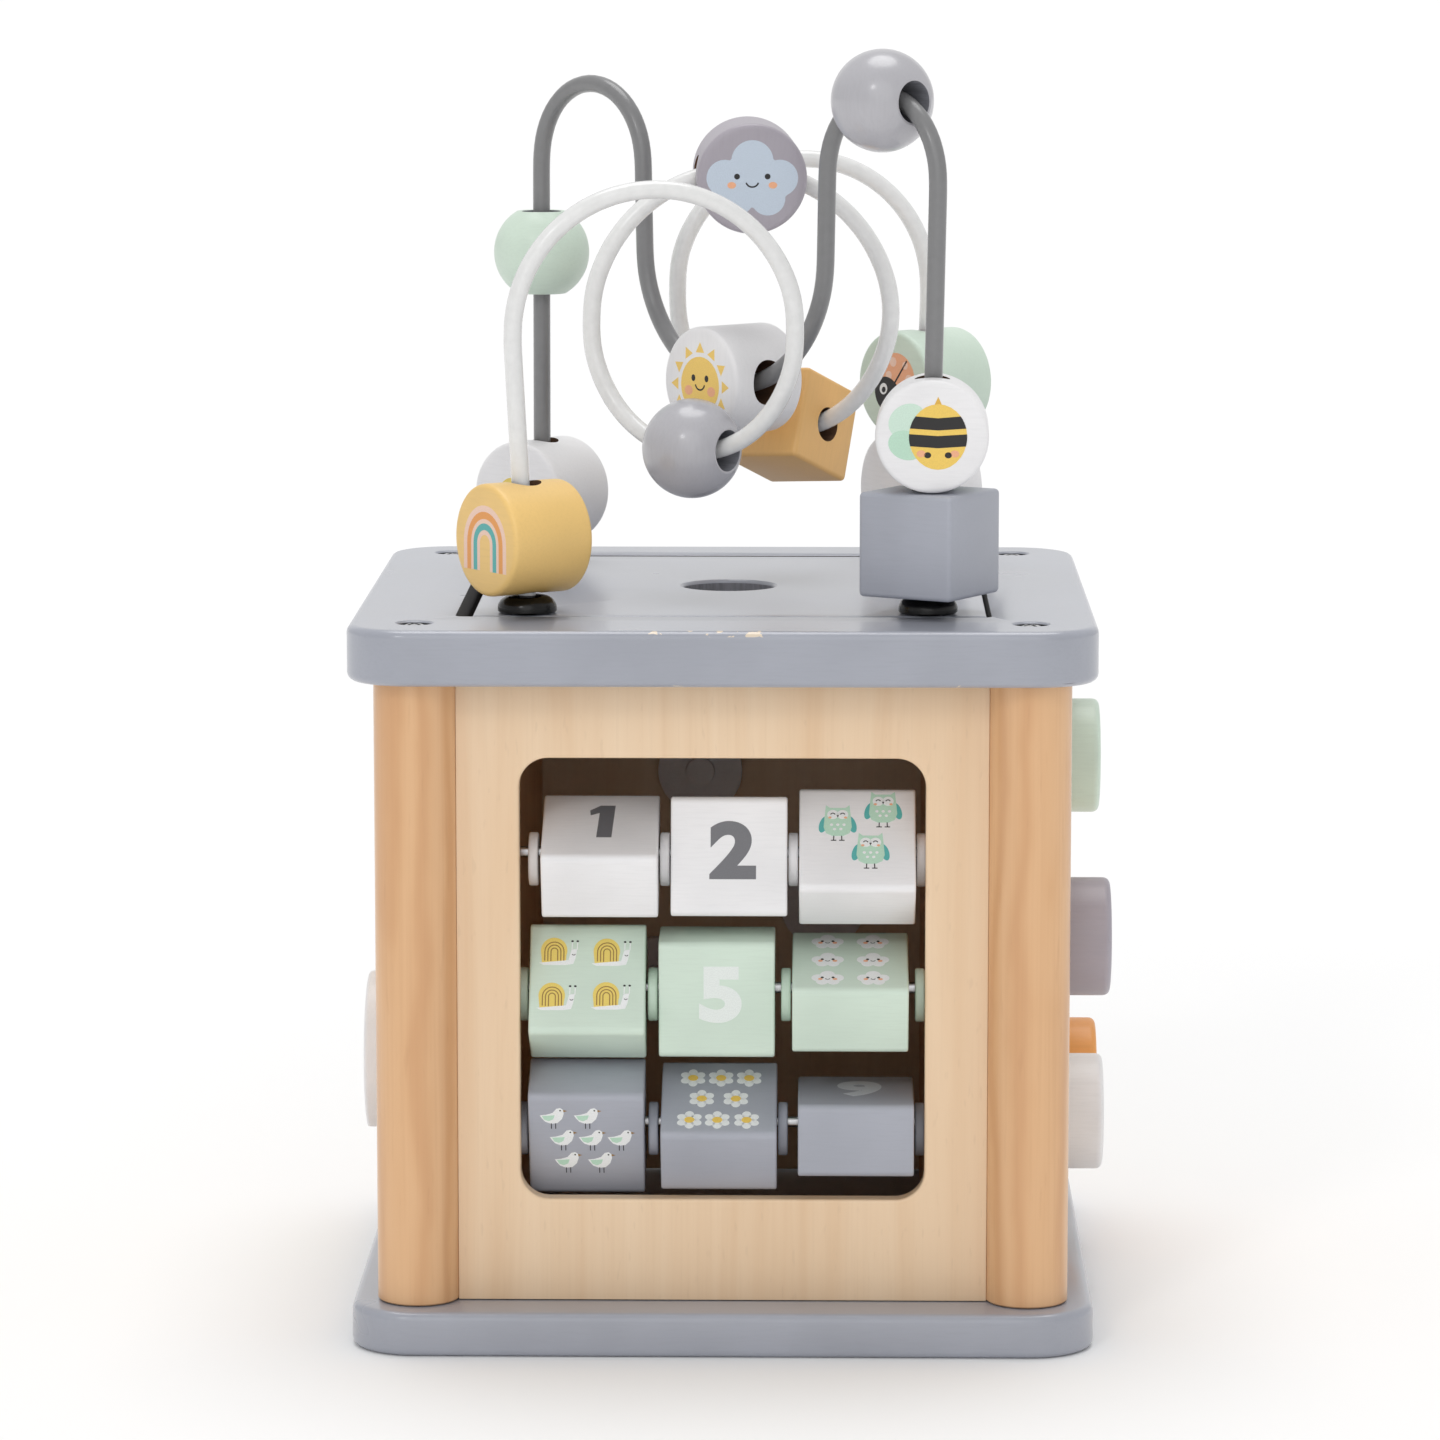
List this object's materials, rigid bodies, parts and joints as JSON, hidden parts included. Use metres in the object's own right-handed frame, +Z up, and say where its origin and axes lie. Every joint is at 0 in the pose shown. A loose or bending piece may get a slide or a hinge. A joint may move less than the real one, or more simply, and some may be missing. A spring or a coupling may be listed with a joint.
{
  "type": "wooden activity cube with bead maze",
  "caption": "Wooden toddler activity cube: bead maze on a lift-off lid, turning number blocks in a window, sliding knobs, meshed gears and a shape sorter panel.",
  "frame": {"origin": "middle of the base plate's underside, which rests on the floor", "axes": "+Z up, +Y from the number window towards the gear panel, +X from the shape panel towards the sliding knobs"},
  "size_m": [0.2055, 0.2, 0.3468],
  "materials": {
    "painted_grey_wood": "satin grey paint",
    "birch": "lacquered birch",
    "beech": "lacquered beech",
    "white_paint": "satin white paint",
    "mint_paint": "satin mint paint",
    "grey_paint": "satin grey paint",
    "orange_paint": "satin orange paint",
    "yellow_paint": "satin yellow paint",
    "white_wire": "gloss white coating",
    "grey_wire": "gloss grey coating",
    "black_plastic": "gloss black",
    "steel": "bright steel"
  },
  "bodies": {
    "cube_body": {"base_plate": "painted_grey_wood", "top_frame": "painted_grey_wood", "lid_ledge": "birch", "post_front_left": "beech", "post_front_right": "beech", "post_back_left": "beech", "post_back_right": "beech", "front_panel": "birch", "slider_panel": "birch", "gear_panel": "birch", "sorter_panel": "birch", "inner_wall_left": "birch", "inner_wall_right": "birch", "axle_rod_upper": "steel", "axle_rod_middle": "steel", "axle_rod_lower": "steel", "gear_peg_upper": "white_paint", "gear_peg_middle": "white_paint", "gear_peg_lower": "white_paint"},
    "lid": {"lid_board": "painted_grey_wood", "white_wire": "white_wire", "grey_wire": "grey_wire", "wire_collar_front_left": "black_plastic", "wire_collar_front_right": "black_plastic", "wire_collar_back_left": "black_plastic", "wire_collar_back_right": "black_plastic"},
    "number_block_1": {"number_block_1": "white_paint"},
    "number_block_2": {"number_block_2": "white_paint"},
    "number_block_3": {"number_block_3": "white_paint"},
    "number_block_4": {"number_block_4": "mint_paint"},
    "number_block_5": {"number_block_5": "mint_paint"},
    "number_block_6": {"number_block_6": "mint_paint"},
    "number_block_7": {"number_block_7": "grey_paint"},
    "number_block_8": {"number_block_8": "grey_paint"},
    "number_block_9": {"number_block_9": "grey_paint"},
    "slider_knob_green": {"slider_knob_green": "mint_paint"},
    "slider_knob_grey": {"slider_knob_grey": "grey_paint"},
    "slider_knob_white": {"slider_knob_white": "white_paint"},
    "slider_knob_orange": {"slider_knob_orange": "orange_paint"},
    "gear_middle": {"gear_middle": "mint_paint"},
    "gear_upper": {"gear_upper": "yellow_paint"},
    "gear_lower": {"gear_lower": "grey_paint"},
    "shape_block_round": {"shape_block_round": "white_paint"},
    "shape_block_square": {"shape_block_square": "mint_paint"},
    "shape_block_triangle": {"shape_block_triangle": "yellow_paint"},
    "shape_block_hexagon": {"shape_block_hexagon": "grey_paint"},
    "bead_rainbow": {"bead_rainbow": "yellow_paint"},
    "bead_snail": {"bead_snail": "white_paint"},
    "bead_mint_ball": {"bead_mint_ball": "mint_paint"},
    "bead_ladybird": {"bead_ladybird": "mint_paint"},
    "bead_bee": {"bead_bee": "white_paint"},
    "bead_plain": {"bead_plain": "white_paint"},
    "bead_grey_cube": {"bead_grey_cube": "grey_paint"},
    "bead_lower_ball": {"bead_lower_ball": "grey_paint"},
    "bead_cloud": {"bead_cloud": "grey_paint"},
    "bead_yellow_cube": {"bead_yellow_cube": "yellow_paint"},
    "bead_sun": {"bead_sun": "white_paint"},
    "bead_top_ball": {"bead_top_ball": "grey_paint"}
  },
  "joints": [
    {"name": "lid_lift", "type": "slide", "parent": "cube_body", "child": "lid", "axis": [0, 0, 1], "range_m": [0, 0.06]},
    {"name": "number_block_1_spin", "type": "hinge", "parent": "cube_body", "child": "number_block_1", "pos_m": [-0.0329, -0.07, 0.1312], "axis": [1, 0, 0], "continuous": true},
    {"name": "number_block_2_spin", "type": "hinge", "parent": "cube_body", "child": "number_block_2", "pos_m": [0.0017, -0.07, 0.1312], "axis": [1, 0, 0], "continuous": true},
    {"name": "number_block_3_spin", "type": "hinge", "parent": "cube_body", "child": "number_block_3", "pos_m": [0.0361, -0.07, 0.1312], "axis": [1, 0, 0], "continuous": true},
    {"name": "number_block_4_spin", "type": "hinge", "parent": "cube_body", "child": "number_block_4", "pos_m": [-0.0364, -0.07, 0.0942], "axis": [1, 0, 0], "continuous": true},
    {"name": "number_block_5_spin", "type": "hinge", "parent": "cube_body", "child": "number_block_5", "pos_m": [-0.0016, -0.07, 0.0942], "axis": [1, 0, 0], "continuous": true},
    {"name": "number_block_6_spin", "type": "hinge", "parent": "cube_body", "child": "number_block_6", "pos_m": [0.0343, -0.07, 0.0942], "axis": [1, 0, 0], "continuous": true},
    {"name": "number_block_7_spin", "type": "hinge", "parent": "cube_body", "child": "number_block_7", "pos_m": [-0.0367, -0.07, 0.0572], "axis": [1, 0, 0], "continuous": true},
    {"name": "number_block_8_spin", "type": "hinge", "parent": "cube_body", "child": "number_block_8", "pos_m": [-0.001, -0.07, 0.0572], "axis": [1, 0, 0], "continuous": true},
    {"name": "number_block_9_spin", "type": "hinge", "parent": "cube_body", "child": "number_block_9", "pos_m": [0.0359, -0.07, 0.0572], "axis": [1, 0, 0], "continuous": true},
    {"name": "slider_knob_green_slide", "type": "slide", "parent": "cube_body", "child": "slider_knob_green", "axis": [0, 1, 0], "range_m": [-0.075, 0.015]},
    {"name": "slider_knob_grey_slide", "type": "slide", "parent": "cube_body", "child": "slider_knob_grey", "axis": [0, 0, 1], "range_m": [-0.0588, 0.0052]},
    {"name": "slider_knob_white_slide", "type": "slide", "parent": "cube_body", "child": "slider_knob_white", "axis": [0, 0, 1], "range_m": [-0.0026, 0.0614]},
    {"name": "slider_knob_orange_slide", "type": "slide", "parent": "cube_body", "child": "slider_knob_orange", "axis": [0, 0, 1], "range_m": [-0.0043, 0.0597]},
    {"name": "gear_middle_spin", "type": "hinge", "parent": "cube_body", "child": "gear_middle", "pos_m": [0.027, 0.0907, 0.0923], "axis": [0, 1, 0], "continuous": true},
    {"name": "gear_upper_spin", "type": "hinge", "parent": "cube_body", "child": "gear_upper", "pos_m": [-0.00913, 0.0907, 0.13243], "axis": [0, 1, 0], "continuous": true},
    {"name": "gear_lower_spin", "type": "hinge", "parent": "cube_body", "child": "gear_lower", "pos_m": [-0.02233, 0.0907, 0.07034], "axis": [0, 1, 0], "continuous": true},
    {"name": "shape_block_round_slide", "type": "slide", "parent": "cube_body", "child": "shape_block_round", "axis": [-1, 0, 0], "range_m": [-0.0067, 0.0183]},
    {"name": "shape_block_square_slide", "type": "slide", "parent": "cube_body", "child": "shape_block_square", "axis": [-1, 0, 0], "range_m": [0, 0.025]},
    {"name": "shape_block_triangle_slide", "type": "slide", "parent": "cube_body", "child": "shape_block_triangle", "axis": [-1, 0, 0], "range_m": [0, 0.025]},
    {"name": "shape_block_hexagon_slide", "type": "slide", "parent": "cube_body", "child": "shape_block_hexagon", "axis": [-1, 0, 0], "range_m": [0, 0.025]},
    {"name": "bead_rainbow_slide", "type": "slide", "parent": "lid", "child": "bead_rainbow", "axis": [-0.0541, 0, 0.9985], "range_m": [0, 0.03]},
    {"name": "bead_snail_slide", "type": "slide", "parent": "lid", "child": "bead_snail", "axis": [0.0018, 0, 1], "range_m": [0, 0.018]},
    {"name": "bead_mint_ball_slide", "type": "slide", "parent": "lid", "child": "bead_mint_ball", "axis": [0.0018, 0, 1], "range_m": [-0.02, 0.012]},
    {"name": "bead_ladybird_slide", "type": "slide", "parent": "lid", "child": "bead_ladybird", "axis": [0.0333, 0, 0.9994], "range_m": [0, 0.012]},
    {"name": "bead_bee_slide", "type": "slide", "parent": "lid", "child": "bead_bee", "axis": [0.0196, 0, 0.9998], "range_m": [0, 0.05]},
    {"name": "bead_plain_spin", "type": "hinge", "parent": "lid", "child": "bead_plain", "pos_m": [0.05504, 0.06, 0.217], "axis": [0, 0, 1], "continuous": true},
    {"name": "bead_grey_cube_spin", "type": "hinge", "parent": "lid", "child": "bead_grey_cube", "pos_m": [0.05528, -0.06, 0.2153], "axis": [0, 0, 1], "continuous": true},
    {"name": "bead_lower_ball_travel", "type": "hinge", "parent": "lid", "child": "bead_lower_ball", "pos_m": [-0.00925, -0.027, 0.2713], "axis": [0.5711, 0.8209, 0], "range_deg": [-25, 25]},
    {"name": "bead_cloud_travel", "type": "hinge", "parent": "lid", "child": "bead_cloud", "pos_m": [0.004, -0.0005, 0.2697], "axis": [-0.1529, 0.9882, 0], "range_deg": [-25, 25]},
    {"name": "bead_yellow_cube_travel", "type": "hinge", "parent": "lid", "child": "bead_yellow_cube", "pos_m": [0.01525, 0.0275, 0.2751], "axis": [0.573, 0.8195, 0], "range_deg": [-12, 20]},
    {"name": "bead_sun_travel", "type": "hinge", "parent": "lid", "child": "bead_sun", "pos_m": [0.00175, 0, 0.2905], "axis": [-0.7361, -0.6769, 0], "range_deg": [-12, 10]},
    {"name": "bead_top_ball_travel", "type": "hinge", "parent": "lid", "child": "bead_top_ball", "pos_m": [0.04235, -0.044, 0.313], "axis": [0.733, 0.6803, 0], "range_deg": [-30, 30]}
  ],
  "couplings": [
    {"joint": "gear_upper_spin", "follows": "gear_middle_spin", "ratio": -1},
    {"joint": "gear_lower_spin", "follows": "gear_middle_spin", "ratio": -1}
  ]
}
